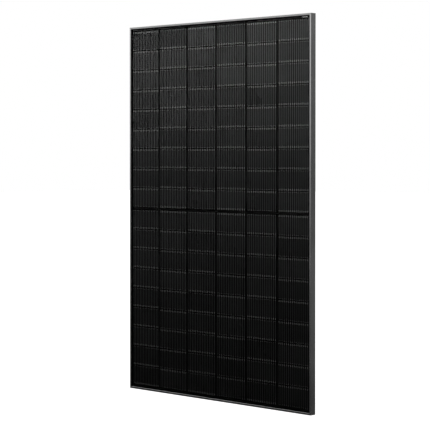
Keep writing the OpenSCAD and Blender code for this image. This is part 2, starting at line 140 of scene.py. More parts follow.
def noise(tree, scale, detail=3.0, stretch=(1, 1, 1), rough=0.5):
    """Noise in the piece's own space. A stretch under 1 draws it out along that axis."""
    point = put(tree, "ShaderNodeTexCoord").outputs["Object"]
    moved = put(tree, "ShaderNodeMapping", [("Vector", point), ("Scale", stretch)]).outputs[0]
    return put(tree, "ShaderNodeTexNoise",
               [("Vector", moved), ("Scale", scale), ("Detail", detail), ("Roughness", rough)]).outputs[0]


# %% [markdown]
# Three effects are shared by many finishes, so each is one shader group: a fine grain with a height,
# a thin film of dust that gathers low down and in patches, and hairline scratches from handling.

# %% Shared effects
def shader_group(name, inputs, outputs):
    """An empty group with number sockets, its inner input node and its inner output node."""
    group = bpy.data.node_groups.new(name, "ShaderNodeTree")
    for label, value in inputs:
        group.interface.new_socket(label, in_out="INPUT", socket_type="NodeSocketFloat").default_value = value
    for label in outputs:
        group.interface.new_socket(label, in_out="OUTPUT", socket_type="NodeSocketFloat")
    return group, group.nodes.new("NodeGroupInput"), group.nodes.new("NodeGroupOutput")


def vector_of(tree, x, y, z):
    return put(tree, "ShaderNodeCombineXYZ", [(0, x), (1, y), (2, z)]).outputs[0]


grain, inside, outside = shader_group(
    "grain", [("Scale", 900.0), ("Along X", 1.0), ("Along Z", 1.0)], ["Tone", "Height"])
point = put(grain, "ShaderNodeTexCoord").outputs["Object"]
drawn = put(grain, "ShaderNodeVectorMath",
            [(0, point), (1, vector_of(grain, inside.outputs["Along X"], 1.0, inside.outputs["Along Z"]))],
            operation="MULTIPLY").outputs[0]
fine = put(grain, "ShaderNodeTexNoise",
           [("Vector", drawn), ("Scale", inside.outputs["Scale"]), ("Detail", 4.0)]).outputs[0]
broad = put(grain, "ShaderNodeTexNoise", [("Vector", point), ("Scale", 7.0), ("Detail", 3.0)]).outputs[0]
grain.links.new(calc(grain, "ADD", times(grain, fine, 0.6), times(grain, broad, 0.4)),
                outside.inputs["Tone"])
grain.links.new(fine, outside.inputs["Height"])

dust, inside, outside = shader_group("dust", [("Amount", 0.1)], ["Cover"])
_, _, up = place(dust)
low_down = spread(dust, up, cad_low.z, cad_low.z + 0.25, 1.0, 0.35)
patches = spread(dust, noise(dust, 9.0, 5.0), 0.45, 0.75, 0.0, 1.0)
specks = spread(dust, noise(dust, 700.0, 2.0), 0.62, 0.75, 0.0, 1.0)
cover = calc(dust, "ADD", times(dust, patches, low_down), times(dust, specks, 0.5))
dust.links.new(calc(dust, "MULTIPLY", cover, inside.outputs["Amount"], clamp=True), outside.inputs["Cover"])

scratches, inside, outside = shader_group("scratches", [("Density", 0.5)], ["Mark"])
long_marks = noise(scratches, 60.0, 1.0, (1.0, 1.0, 40.0))
cross_marks = noise(scratches, 45.0, 1.0, (30.0, 6.0, 1.0))
lines = calc(scratches, "MAXIMUM", spread(scratches, long_marks, 0.7, 0.74, 0.0, 1.0),
             spread(scratches, cross_marks, 0.71, 0.75, 0.0, 1.0))
where = spread(scratches, noise(scratches, 3.0, 2.0), 0.45, 0.7, 0.0, 1.0)
mark = calc(scratches, "MULTIPLY", times(scratches, lines, where), inside.outputs["Density"],
            clamp=True)
scratches.links.new(mark, outside.inputs["Mark"])


def effect(tree, group, **inputs):
    """Puts a shared effect into a material."""
    node = put(tree, "ShaderNodeGroup", node_tree=group)
    for label, value in inputs.items():
        node.inputs[label.replace("_", " ")].default_value = value
    return node.outputs


# %% [markdown]
# Every finish starts from the same pattern: a dark and a light colour mixed by a tone, a roughness that
# follows the tone, and a small bump. What differs is the tone, so each finish passes its own.

# %% Finish pattern
def grey(value, warm=0.0):
    """A neutral colour, a little warmer or cooler if asked."""
    return (value * (1 + warm), value, value * (1 - warm), 1.0)


def blend_colours(tree, factor, first, second):
    mix = put(tree, "ShaderNodeMix", data_type="RGBA")
    for key, value in (("Factor", factor), ("A", first), ("B", second)):
        socket = next(s for s in mix.inputs if s.name == key and s.enabled)
        if isinstance(value, bpy.types.NodeSocket):
            tree.links.new(value, socket)
        else:
            socket.default_value = value
    return next(s for s in mix.outputs if s.enabled)


def finish(name, tone_of, dark, light, rough, metallic=0.0, bump=0.1, depth=0.02, dusty=0.0, coat=0.0,
           specular=0.5):
    """A material whose tone picks between two colours and two roughnesses."""
    material = bpy.data.materials.new(name)
    material.use_nodes = True
    tree = material.node_tree
    shader = tree.nodes["Principled BSDF"]
    tone, height = tone_of(tree)
    colour = blend_colours(tree, tone, dark, light)
    if dusty:
        cover = effect(tree, dust, Amount=dusty)["Cover"]
        colour = blend_colours(tree, cover, colour, grey(0.38, 0.05))
    tree.links.new(colour, shader.inputs["Base Color"])
    tree.links.new(spread(tree, tone, 0.0, 1.0, rough[0], rough[1]), shader.inputs["Roughness"])
    shader.inputs["Metallic"].default_value = metallic
    shader.inputs["Coat Weight"].default_value = coat
    shader.inputs["Specular IOR Level"].default_value = specular
    bumped = put(tree, "ShaderNodeBump", [("Strength", bump), ("Distance", depth * MM), ("Height", height)])
    tree.links.new(bumped.outputs[0], shader.inputs["Normal"])
    return material


def grained(scale=900.0, along_x=1.0, along_z=1.0, marks=0.0):
    """A tone made of grain, with scratches on top if asked."""
    def tone_of(tree):
        out = effect(tree, grain, Scale=scale, Along_X=along_x, Along_Z=along_z)
        tone = spread(tree, out["Tone"], 0.35, 0.65, 0.0, 1.0)
        if marks:
            tone = calc(tree, "ADD", tone, effect(tree, scratches, Density=marks)["Mark"], clamp=True)
        return tone, out["Height"]
    return tone_of


# %% [markdown]
# Black anodising is a clear oxide dyed black on bead-blasted aluminium. The extrusion's draw lines still
# show along each rail, so the grain is drawn out along Z on the long rails and along X on the short ones.
# On the real object all four rails are the same metal. Here the upright, top and bottom rails have their own
# greys. These are painted light and shade that balance a studio which lights them unevenly. The bottom lip
# also has a painted highlight, a pale line along its inner edge.

# %% Frame finishes
ANODISED = dict(rough=(0.15, 0.22), metallic=0.92, bump=0.12, depth=0.01, dusty=0.03, coat=0.1)
UPRIGHT_GRAIN = (1500.0, 1.0, 0.03, 0.25)
LEVEL_GRAIN = (1500.0, 0.03, 1.0, 0.25)
# the upright and top rails' grey pairs differ as painted light and shade, not as different metals
anodised_upright = finish("anodised_upright", grained(*UPRIGHT_GRAIN), grey(0.25), grey(0.36), **ANODISED)
anodised_level = finish("anodised_level", grained(*LEVEL_GRAIN), grey(0.17), grey(0.25), **ANODISED)
LIP_WIDTH = 8.5 * MM
LIP_BEVEL = 1.0 * MM
BASE_SHARE = 0.3


def painted_base_shade_and_highlight(tree):
    """Painted shade for the bottom rail, with a painted highlight along its lip's inner edge."""
    tone, height = grained(*LEVEL_GRAIN)(tree)
    _, _, z = place(tree)
    edge = cad_low.z + LIP_WIDTH
    below = spread(tree, z, edge - 2 * LIP_BEVEL, edge - LIP_BEVEL, 0.0, 1.0)
    above = spread(tree, z, edge + LIP_BEVEL, edge + 2 * LIP_BEVEL, 1.0, 0.0)
    return calc(tree, "MAXIMUM", times(tree, tone, BASE_SHARE), times(tree, below, above)), height


# the bottom rail's dark grey is painted shade, and its light grey is the painted highlight on the lip
anodised_base = finish("anodised_base", painted_base_shade_and_highlight, grey(0.035), grey(0.3), **ANODISED)
key_metal = finish("key_metal", grained(700.0, 1.0, 0.2, 0.6), grey(0.32), grey(0.55), (0.3, 0.5),
                   metallic=1.0, bump=0.3)
silicone = finish("silicone", grained(260.0), grey(0.006), grey(0.016), (0.4, 0.6), bump=0.5, depth=0.2)

# %% [markdown]
# Solar glass is low-iron glass with an anti-reflective coat, so it mirrors only a few hundredths of the
# light.
# Behind it the encapsulant is clear too. A pane this thin is a straight view, and it must not throw a shadow
# on its own cells. The real pane has a weak gloss at every angle. A gloss that weak renders as noise, so it
# starts only at low angles here, and the cells and wires behind carry the room's reflection instead.

# %% Glass and encapsulant
LOW_ANGLE = 0.09  # Fresnel share below which the gloss is left out


def clear_pane(name, tint, index, rough, gloss, haze):
    """A see-through pane with a gloss on its outer faces and a faint uneven haze."""
    material = bpy.data.materials.new(name)
    material.use_nodes = True
    tree = material.node_tree
    tree.nodes.remove(tree.nodes["Principled BSDF"])
    through = put(tree, "ShaderNodeBsdfTransparent", [("Color", tint)]).outputs[0]
    ripple = noise(tree, 5.0, 4.0)
    edge_on = put(tree, "ShaderNodeFresnel", [("IOR", index)]).outputs[0]
    mirror = put(tree, "ShaderNodeBsdfGlossy",
                 [("Color", grey(0.9)), ("Roughness", spread(tree, ripple, 0.3, 0.7, rough, rough * 1.5))])
    behind = put(tree, "ShaderNodeNewGeometry").outputs["Backfacing"]
    outer = calc(tree, "SUBTRACT", 1.0, behind)
    share = times(tree, spread(tree, edge_on, LOW_ANGLE, 1.0, 0.0, gloss), outer)
    glossed = put(tree, "ShaderNodeMixShader", [(0, share), (1, through), (2, mirror.outputs[0])]).outputs[0]
    film = put(tree, "ShaderNodeBsdfDiffuse", [("Color", grey(0.5))]).outputs[0]
    smear = spread(tree, noise(tree, 3.0, 5.0, (1.0, 1.0, 0.5)), 0.45, 0.75, 0.0, haze)
    hazed = put(tree, "ShaderNodeMixShader",
                [(0, times(tree, smear, share)), (1, glossed), (2, film)]).outputs[0]
    shadow = put(tree, "ShaderNodeLightPath").outputs["Is Shadow Ray"]
    clear = put(tree, "ShaderNodeBsdfTransparent", [("Color", tint)]).outputs[0]
    final = put(tree, "ShaderNodeMixShader", [(0, shadow), (1, hazed), (2, clear)]).outputs[0]
    tree.links.new(final, tree.nodes["Material Output"].inputs["Surface"])
    return material


solar_glass = clear_pane("solar_glass", (0.966, 0.971, 0.969, 1.0), 1.34, 0.1, 0.7, 0.1)
encapsulant = clear_pane("encapsulant", (0.985, 0.985, 0.98, 1.0), 1.02, 0.3, 0.0, 0.0)

# %% [markdown]
# A monocrystalline cell is etched into tiny pyramids and coated, so it looks nearly black and every cell has
# a slightly different tone. Silver fingers about as thin as a hair cross it.
# The tone of a cell comes from its column and row, which are found from the point's place on the module.
# A printed line about a millimetre wide runs under each wire. Its shine is drawn several times wider than the
# real one, so that it still shows from across a room. The finish is more metallic than silicon is, because
# it carries the reflection that the glass leaves out.

# %% Cell finish
FINGER_PITCH = 1.3 * MM
FINGER_WIDTH = 0.05
LINE_CORE = 0.8 * MM
LINE_SHINE = 5.6 * MM
LINE_STOP = 1.6 * MM
CELL_METAL = 0.68
OWN_SHARE = 0.012
CLOUD_SHARE = 0.008
FINGER_SHARE = 0.1
WEAKEST_LINE = 0.68


def cell_index(tree, value, start, pitch):
    """Which cell a point is in along one direction, and how far along that cell it is."""
    steps = calc(tree, "DIVIDE", calc(tree, "SUBTRACT", value, start), pitch)
    return calc(tree, "FLOOR", steps), calc(tree, "FRACT", steps)


def cell_tone(tree):
    x, _, z = place(tree)
    half = calc(tree, "SIGN", z)
    column, across = cell_index(tree, x, string_low.x, column_pitch)
    row, along = cell_index(tree, calc(tree, "ABSOLUTE", z), field_start, row_pitch)
    seed = vector_of(tree, column, row, half)
    own = put(tree, "ShaderNodeTexWhiteNoise", [("Vector", seed)], noise_dimensions="3D").outputs["Value"]
    cloud = noise(tree, 22.0, 4.0)
    tone = calc(tree, "ADD", times(tree, own, OWN_SHARE), times(tree, cloud, CLOUD_SHARE))
    height_in_cell = times(tree, along, row_pitch)
    steps = calc(tree, "FRACT", calc(tree, "DIVIDE", height_in_cell, FINGER_PITCH))
    finger = calc(tree, "LESS_THAN", steps, FINGER_WIDTH)
    _, beside = cell_index(tree, times(tree, across, column_pitch),
                           WIRE_EDGE - wire_pitch / 2, wire_pitch)
    off_line = times(tree, calc(tree, "ABSOLUTE", calc(tree, "SUBTRACT", beside, 0.5)), wire_pitch)
    line = spread(tree, off_line, LINE_CORE / 2, LINE_SHINE / 2, 1.0, 0.0)
    printed = times(tree, calc(tree, "GREATER_THAN", height_in_cell, LINE_STOP),
                   calc(tree, "LESS_THAN", height_in_cell, cell_height - LINE_STOP))
    strength = spread(tree, own, 0.0, 1.0, WEAKEST_LINE, 1.0)
    line = times(tree, times(tree, line, printed), strength)
    silver = calc(tree, "MAXIMUM", times(tree, finger, FINGER_SHARE), line)
    return calc(tree, "ADD", tone, silver, clamp=True), cloud


cell_finish = finish("silicon_cell", cell_tone, (0.0035, 0.0035, 0.0037, 1), (0.15, 0.15, 0.152, 1),
                     (0.11, 0.09), metallic=CELL_METAL, bump=0.01, specular=0.0)

# %% [markdown]
# The wires are copper dipped in tin, drawn darker than bare tin, with brighter solder where they meet a pad.
# The bus ribbons of an all-black module carry a black coating. The faces of the terminals and lids that look
# towards the glass carry painted shade, darker than real ones, so that they don't glare through the slits in
# the backsheet.

# %% Metal, rubber and plastic finishes
wire_metal = finish("wire_metal", grained(3000.0, 1.0, 0.02), grey(0.1), grey(0.15), (0.09, 0.13),
                    metallic=0.7, bump=0.1)
pad_metal = finish("pad_metal", grained(5000.0), grey(0.7), grey(0.9), (0.1, 0.14), metallic=0.5, bump=0.05)
ribbon_coat = finish("ribbon_coat", grained(1200.0, 0.1, 1.0, 0.3), grey(0.012), grey(0.022), (0.14, 0.2),
                     metallic=0.7, bump=0.2, specular=0.0)


def outside_painted_shade(tree):
    """0 on faces that look towards the glass, where shade is painted, and 1 on the others."""
    normal = put(tree, "ShaderNodeNewGeometry").outputs["Normal"]
    facing = put(tree, "ShaderNodeSeparateXYZ", [(0, normal)]).outputs["Y"]
    return spread(tree, facing, -0.9, -0.3, 0.0, 1.0)


def tin_with_painted_shade(tree):
    """Brushed tin, with painted shade where it faces the glass."""
    tone, height = grained(1400.0, 0.2, 1.0, 0.5)(tree)
    return times(tree, tone, outside_painted_shade(tree)), height


# the dark grey also gives the painted shade on the faces towards the glass
terminal_tin = finish("terminal_tin", tin_with_painted_shade, grey(0.02), grey(0.6, 0.02), (0.25, 0.42), metallic=1.0,
                      bump=0.2)
diode_epoxy = finish("diode_epoxy", grained(2600.0), grey(0.008), grey(0.022), (0.5, 0.7), bump=0.3)
seal_rubber = finish("seal_rubber", grained(1800.0), grey(0.012), grey(0.028), (0.55, 0.75), bump=0.3)


def lid_with_painted_shade(tree):
    """The lid's grain and scratches outside, and painted shade, near black, inside."""
    tone, height = grained(2600.0, marks=0.3)(tree)
    return times(tree, spread(tree, tone, 0.0, 1.0, 0.6, 1.0), outside_painted_shade(tree)), height


box_plastic = finish("box_plastic", grained(2200.0, marks=0.2), grey(0.022), grey(0.04), (0.36, 0.5),
                     bump=0.4, depth=0.03, dusty=0.06)
# the near-black grey is the painted shade inside the lid
lid_plastic = finish("lid_plastic", lid_with_painted_shade, grey(0.003), grey(0.052), (0.44, 0.3), bump=0.4, depth=0.03,
                     dusty=0.02)
nut_plastic = finish("nut_plastic", grained(2000.0), grey(0.022), grey(0.04), (0.34, 0.5), bump=0.35,
                     depth=0.03, dusty=0.06)

# %% [markdown]
# The backsheet is a black polymer film pressed on in a vacuum. The wires behind it print through as faint
# upright ridges, and the gaps between the cells as shallow grooves. The ridges carry a painted highlight and
# the grooves painted shade. The rear face has a clear gloss. The bonded front face is drawn part metallic,
# which the real film isn't, to mirror the room as the cells do.

# %% Backsheet finish
sheet_low, sheet_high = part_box("backsheet")
REAR_GLOSS = 0.5
REAR_GLOSS_ROUGH = 0.28
FRONT_METAL = 0.7
RIDGE_WIDTH = 0.12


def rear_side(tree):
    """1 on the film's rear face and 0 on its bonded front face."""
    _, depth, _ = place(tree)
    return spread(tree, depth, sheet_low.y, sheet_high.y, 0.0, 1.0)


def sheet_tone(tree):
    x, _, z = place(tree)
    _, across = cell_index(tree, x, string_low.x, column_pitch)
    _, along = cell_index(tree, calc(tree, "ABSOLUTE", z), field_start, row_pitch)
    _, wire = cell_index(tree, times(tree, across, column_pitch),
                         WIRE_EDGE - wire_pitch / 2, wire_pitch)
    off_wire = calc(tree, "ABSOLUTE", calc(tree, "SUBTRACT", wire, 0.5))
    ridge = spread(tree, off_wire, 0.0, RIDGE_WIDTH, 1.0, 0.0)
    groove = calc(tree, "MAXIMUM", calc(tree, "GREATER_THAN", across, cell_width / column_pitch),
                  calc(tree, "GREATER_THAN", along, cell_height / row_pitch))
    wave = noise(tree, 14.0, 4.0)
    height = calc(tree, "ADD", calc(tree, "SUBTRACT", times(tree, ridge, 0.5), groove),
                  times(tree, wave, 0.3))
    mottle = calc(tree, "ADD", times(tree, wave, 0.4), times(tree, noise(tree, 400.0), 0.3))
    # painted highlight on the wire ridges and painted shade in the grooves between cells
    marked = calc(tree, "ADD", times(tree, ridge, 0.14), times(tree, groove, -0.22))
    tone = spread(tree, calc(tree, "ADD", mottle, marked), 0.1, 0.6, 0.2, 1.0)
    return times(tree, tone, rear_side(tree)), height


backsheet_film = finish("backsheet_film", sheet_tone, grey(0.014), grey(0.032), (0.14, 0.42), bump=0.35,
                        depth=0.12, dusty=0.03, specular=0.0)
film = backsheet_film.node_tree
film_shader = film.nodes["Principled BSDF"]
film_shader.inputs["Coat Roughness"].default_value = REAR_GLOSS_ROUGH
at_rear = rear_side(film)
film.links.new(times(film, at_rear, REAR_GLOSS), film_shader.inputs["Coat Weight"])
film.links.new(times(film, calc(film, "SUBTRACT", 1.0, at_rear), FRONT_METAL), film_shader.inputs["Metallic"])

# %% [markdown]
# Both labels carry only plain bars: a bar code on the serial label, and on the rating label a table of grey
# lines with a darker heading strip and a code block. There is nothing to read.

# %% Label finishes
def inside_span(tree, value, low, high):
    return times(tree, calc(tree, "GREATER_THAN", value, low), calc(tree, "LESS_THAN", value, high))


def bars(tree, value, pitch, seed):
    """Upright bars of uneven width."""
    cell = calc(tree, "FLOOR", calc(tree, "DIVIDE", value, pitch))
    pick = put(tree, "ShaderNodeTexWhiteNoise", [("W", calc(tree, "ADD", cell, seed))],
               noise_dimensions="1D").outputs["Value"]
    return calc(tree, "GREATER_THAN", pick, 0.5)


def label_place(tree, node_name):
    """The place across in metres, then the shares of the label's width and height."""
    low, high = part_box(node_name)
    x, _, z = place(tree)
    return x, spread(tree, x, low.x, high.x, 0.0, 1.0), spread(tree, z, low.z, high.z, 0.0, 1.0)


def patch(tree, part, level, across, up):
    """1 inside a rectangle given in shares of the label."""
    return times(tree, inside_span(tree, part, *across), inside_span(tree, level, *up))


def serial_tone(tree):
    x, part, level = label_place(tree, "serial_label")
    code = times(tree, bars(tree, x, 0.35 * MM, 7.0), patch(tree, part, level, (0.08, 0.92), (0.5, 0.85)))
    foot = times(tree, bars(tree, x, 0.8 * MM, 31.0), patch(tree, part, level, (0.2, 0.8), (0.14, 0.28)))
    return calc(tree, "SUBTRACT", 1.0, calc(tree, "MAXIMUM", code, foot)), noise(tree, 900.0)


TABLE_ROWS = 16.0
ROW_SLIDE = 0.37
DASH_PITCH = 4.2 * MM
DASH_INK = 0.65


def rating_tone(tree):
    x, part, level = label_place(tree, "rating_label")
    heading = patch(tree, part, level, (0.05, 0.95), (0.84, 0.93))
    rows = times(tree, level, TABLE_ROWS)
    slid = calc(tree, "ADD", x, times(tree, calc(tree, "FLOOR", rows), ROW_SLIDE))
    dashes = times(tree, bars(tree, slid, DASH_PITCH, 3.0),
                   inside_span(tree, calc(tree, "FRACT", rows), 0.3, 0.62))
    table = times(tree, times(tree, dashes, DASH_INK), patch(tree, part, level, (0.06, 0.94), (0.3, 0.8)))
    code = times(tree, bars(tree, x, 0.9 * MM, 11.0), patch(tree, part, level, (0.5, 0.93), (0.07, 0.24)))
    ink = calc(tree, "MAXIMUM", calc(tree, "MAXIMUM", heading, table), code)
    return calc(tree, "SUBTRACT", 1.0, ink, clamp=True), noise(tree, 900.0)


LABEL_GLOW = 0.2  # keeps the small label white at a distance; real paper has no glow
serial_paper = finish("serial_paper", serial_tone, grey(0.3), grey(0.95), (0.5, 0.4), bump=0.05)
serial_shader = serial_paper.node_tree.nodes["Principled BSDF"]
serial_shader.inputs["Emission Color"].default_value = grey(1.0)
serial_shader.inputs["Emission Strength"].default_value = LABEL_GLOW
rating_paper = finish("rating_paper", rating_tone, grey(0.03), grey(0.62), (0.35, 0.3), bump=0.05, dusty=0.03)

# %% [markdown]
# Each CAD node keeps its own shape and gets the finish of the real piece.

# %% Dress the CAD nodes
FINISHES = {
    "frame_rail_left": anodised_upright, "frame_rail_right": anodised_upright,
    "frame_rail_top": anodised_level, "frame_rail_bottom": anodised_base,
    "corner_key": key_metal, "frame_sealant": silicone, "front_glass": solar_glass,
    "front_encapsulant": encapsulant, "rear_encapsulant": encapsulant, "backsheet": backsheet_film,
    "cell_string": cell_finish, "string_wires": wire_metal, "bus_ribbons": ribbon_coat,
    "serial_label": serial_paper, "rating_label": rating_paper, "jbox_base": box_plastic,
    "jbox_lid": lid_plastic, "jbox_terminals": terminal_tin, "jbox_adhesive": silicone,
    "lid_gaskets": seal_rubber, "bypass_diodes": diode_epoxy, "gland_bodies": nut_plastic,
    "gland_seals": seal_rubber, "gland_nuts": nut_plastic,
}
for name, node in nodes.items():
    material = next(m for start, m in FINISHES.items() if name.startswith(start))
    for slot in node.material_slots:
        slot.material = material
print("dressed", len(nodes), "nodes with", len(set(FINISHES.values())), "finishes")

# %% [markdown]
# Moulded pieces never have knife edges: the tool leaves a small radius that catches the light. Each box base,
# lid and gland nut gets a copy whose sharp edges are rounded, and the copy stands for the CAD node.

# %% Round the moulded edges
EDGE_RADIUS = 0.3 * MM
FLAT_ANGLE = math.radians(1.0)
SHARP_ANGLE = math.radians(40.0)


def rounded_copy(name, node_name, body, material):
    """A copy of a CAD node with its sharp edges rounded."""
    shape = bmesh.new()
    shape.from_mesh(nodes[node_name].data)
    bmesh.ops.remove_doubles(shape, verts=shape.verts, dist=0.001 * MM)
    bmesh.ops.dissolve_limit(shape, angle_limit=FLAT_ANGLE, verts=shape.verts, edges=shape.edges)
    mesh = bpy.data.meshes.new(name)
    shape.to_mesh(mesh)
    shape.free()
    piece = bpy.data.objects.new(name, mesh)
    scene.collection.objects.link(piece)
    bevel = piece.modifiers.new("round", "BEVEL")
    bevel.width = EDGE_RADIUS
    bevel.segments = 2
    bevel.limit_method = "ANGLE"
    bevel.angle_limit = SHARP_ANGLE
    plain = bpy.data.meshes.new_from_object(piece.evaluated_get(bpy.context.evaluated_depsgraph_get()))
    piece.modifiers.clear()
    piece.data = plain
    piece.data.materials.clear()
    piece.data.materials.append(material)
    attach(piece, body)
    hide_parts(node_name)
    shape = bmesh.new()
    shape.from_mesh(plain)
    loose = sum(not edge.is_manifold for edge in shape.edges)
    shape.free()
    print(name, len(plain.polygons), "faces,", loose, "open edges")


for side_name in ("left", "centre", "right"):
    rounded_copy(f"box_base_{side_name}", f"jbox_base_{side_name}", "module", box_plastic)
    rounded_copy(f"box_lid_{side_name}", f"jbox_lid_{side_name}", f"lid_{side_name}",
                 lid_plastic)
rounded_copy("fluted_nuts", "gland_nuts", "module", nut_plastic)

# %% [markdown]
# The wires are what makes the front read as a modern module. A wire runs along the front of one cell, dives
# through the gap and runs along the back of the next, so a string is a chain of short strands. At the end
# where it dives it is pressed flat over a long pad, and at its start over a short one.
# The strands of one wire line are drawn once as swept strips. Geometry Nodes then repeats that line across
# the cell, because all sixteen lines are the same.

# %% Sweep a strand
FLAT_WIDTH = 0.62 * MM
FLAT_THICKNESS = 0.16 * MM
END_INSET = 0.8 * MM
DIVE_MARGIN = 0.15 * MM
RIBBON_OVERLAP = 4.5 * MM
RIBBON_SHARE = 0.6
LONG_PAD = (1.7 * MM, 8.0 * MM, 5.0 * MM)
SHORT_PAD = (1.2 * MM, 4.0 * MM, 4.0 * MM)
PAD_THICKNESS = 0.02 * MM
PAD_TAPER = 0.4 * MM
PAD_NARROW = 0.5
START_FLAT = 3 * MM
END_FLAT = 8.5 * MM
FLAT_TAPER = 1 * MM
FRONT_ROUND = (front_run_y, WIRE_WIDTH, WIRE_THICKNESS)
FRONT_FLAT = (front_run_y, FLAT_WIDTH, FLAT_THICKNESS)
REAR_ROUND = (rear_run_y, WIRE_WIDTH, WIRE_THICKNESS)
SECTION = ((-0.5, 0.0), (-0.3, 0.5), (0.3, 0.5), (0.5, 0.0), (0.3, -0.5), (-0.3, -0.5))


def sweep(shape, path):
    """Adds a closed strip to shape. path holds height, depth, width and thickness at each step."""
    rings = []
    for height, depth, width, thickness in path:
        rings.append([shape.verts.new((u * width, depth + v * thickness, height)) for u, v in SECTION])
    for one, two in zip(rings, rings[1:]):
        for k in range(len(SECTION)):
            m = (k + 1) % len(SECTION)
            shape.faces.new((one[k], one[m], two[m], two[k]))
    shape.faces.new(rings[0])
    shape.faces.new(list(reversed(rings[-1])))


def strand_paths(outward):
    """The strands of one wire line, counted from the centre line of the module outwards."""
    edges = [(field_start + r * row_pitch, field_start + r * row_pitch + cell_height) for r in range(ROWS)]
    if not outward:  # the same line, walked from the outer end
        edges = [(field_end + field_start - b, field_end + field_start - a) for a, b in edges]
        edges.sort()
    inner_end = wires_low.z - field_start
    outer_end = wires_high.z - field_end
    first_end, last_end = (-inner_end, outer_end) if outward else (outer_end, -inner_end)
    first = edges[0][0] - first_end
    paths = [[
        (first, *FRONT_ROUND),
        (first + RIBBON_OVERLAP * RIBBON_SHARE, *FRONT_ROUND),
        (edges[0][0] - DIVE_MARGIN, *REAR_ROUND),
        (edges[0][1] - END_INSET, *REAR_ROUND),
    ]]
    for r, (start, end) in enumerate(edges):
        flat = start + END_INSET
        run = [
            (flat, *FRONT_FLAT),
            (flat + START_FLAT, *FRONT_FLAT),
            (flat + START_FLAT + FLAT_TAPER, *FRONT_ROUND),
            (end - END_FLAT - FLAT_TAPER, *FRONT_ROUND),
            (end - END_FLAT, *FRONT_FLAT),
            (end - FLAT_TAPER, *FRONT_FLAT),
            (end - DIVE_MARGIN, *FRONT_ROUND),
        ]
        if r + 1 < ROWS:
            following = edges[r + 1]
            run += [(following[0] + DIVE_MARGIN, *REAR_ROUND), (following[1] - END_INSET, *REAR_ROUND)]
        else:
            run.append((end + last_end, *FRONT_ROUND))
        paths.append(run)
    return paths, edges


def line_mesh(name, outward, side):
    """One wire line of a string, with its pads marked by an attribute."""
    shape = bmesh.new()
    paths, edges = strand_paths(outward)
    for path in paths:
        sweep(shape, path)
    wire_faces = len(shape.faces)
    depth = cell_front - PAD_THICKNESS / 2
    for start, end in edges:
        for (width, length, inset), edge, way in ((LONG_PAD, end, -1), (SHORT_PAD, start, 1)):
            centre = edge + way * inset
            low, high = centre - length / 2, centre + length / 2
            stations = ((low, PAD_NARROW), (low + PAD_TAPER, 1.0),
                        (high - PAD_TAPER, 1.0), (high, PAD_NARROW))
            sweep(shape, [(at, depth, width * share, PAD_THICKNESS) for at, share in stations])
    middle = field_start + field_end
    for vert in shape.verts:
        height = vert.co.z if outward else middle - vert.co.z
        vert.co.z = side * height
    bmesh.ops.recalc_face_normals(shape, faces=shape.faces)
    mesh = bpy.data.meshes.new(name)
    shape.to_mesh(mesh)
    shape.free()
    mark = mesh.attributes.new("pad", "BOOLEAN", "FACE")
    mark.data.foreach_set("value", [k >= wire_faces for k in range(len(mesh.polygons))])
    return mesh


# %% [markdown]
# The node tree takes one wire line, sets it on a row of points, makes the copies real and gives the wires and
# the pads their own finish. It is used twelve times, once for each string.

# %% Repeat a wire line across a cell
across = bpy.data.node_groups.new("wires_across_a_cell", "GeometryNodeTree")
across.interface.new_socket("Geometry", in_out="INPUT", socket_type="NodeSocketGeometry")
for label, kind in (("Count", "NodeSocketInt"), ("Start", "NodeSocketVector"), ("Step", "NodeSocketVector"),
                    ("Wire", "NodeSocketMaterial"), ("Pad", "NodeSocketMaterial")):
    across.interface.new_socket(label, in_out="INPUT", socket_type=kind)
across.interface.new_socket("Geometry", in_out="OUTPUT", socket_type="NodeSocketGeometry")
given = across.nodes.new("NodeGroupInput").outputs
points = put(across, "GeometryNodeMeshLine",
             [("Count", given["Count"]), ("Start Location", given["Start"]), ("Offset", given["Step"])],
             mode="OFFSET")
copies = put(across, "GeometryNodeInstanceOnPoints",
             [("Points", points.outputs[0]), ("Instance", given["Geometry"])])
real = put(across, "GeometryNodeRealizeInstances", [("Geometry", copies.outputs[0])])
is_pad = put(across, "GeometryNodeInputNamedAttribute", [("Name", "pad")],
             data_type="BOOLEAN").outputs["Attribute"]
all_wire = put(across, "GeometryNodeSetMaterial",
               [("Geometry", real.outputs[0]), ("Material", given["Wire"])])
with_pads = put(across, "GeometryNodeSetMaterial",
                [("Geometry", all_wire.outputs[0]), ("Selection", is_pad), ("Material", given["Pad"])])
put(across, "NodeGroupOutput", [("Geometry", with_pads.outputs[0])])


def grow(name, mesh, group, **values):
    """Runs a geometry tree on a mesh and returns a new plain object."""
    holder = bpy.data.objects.new(name + "_seed", mesh)
    scene.collection.objects.link(holder)
    modifier = holder.modifiers.new("grow", "NODES")
    modifier.node_group = group
    for item in group.interface.items_tree:
        if item.in_out == "INPUT" and item.name in values:
            modifier[item.identifier] = values[item.name]
    depsgraph = bpy.context.evaluated_depsgraph_get()
    plain = bpy.data.meshes.new_from_object(holder.evaluated_get(depsgraph))
    bpy.data.objects.remove(holder)
    piece = bpy.data.objects.new(name, plain)
    scene.collection.objects.link(piece)
    return piece


for side_name, side in (("upper", 1), ("lower", -1)):
    for column in range(1, COLUMNS + 1):
        start_x = string_low.x + (column - 1) * column_pitch + WIRE_EDGE
        seed_mesh = line_mesh("wire_line", column % 2 == 1, side)
        piece = grow(f"wires_{side_name}_{column}", seed_mesh, across, Count=WIRES, Start=(start_x, 0.0, 0.0),
                     Step=(wire_pitch, 0.0, 0.0), Wire=wire_metal, Pad=pad_metal)
        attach(piece, "module")
        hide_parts(f"string_wires_{side_name}_{column}")
print("wires of one string:", len(piece.data.polygons), "faces")

# %% [markdown]
# This studio isn't one real room. The camera, the glossy faces and the soft light each meet their own light:
# plain white behind the module, a ramp that falls to black towards the floor in its gloss, and an even glow.
# The mirrored ramp is aimed at one viewing side. Its steps and gains were set round after round.

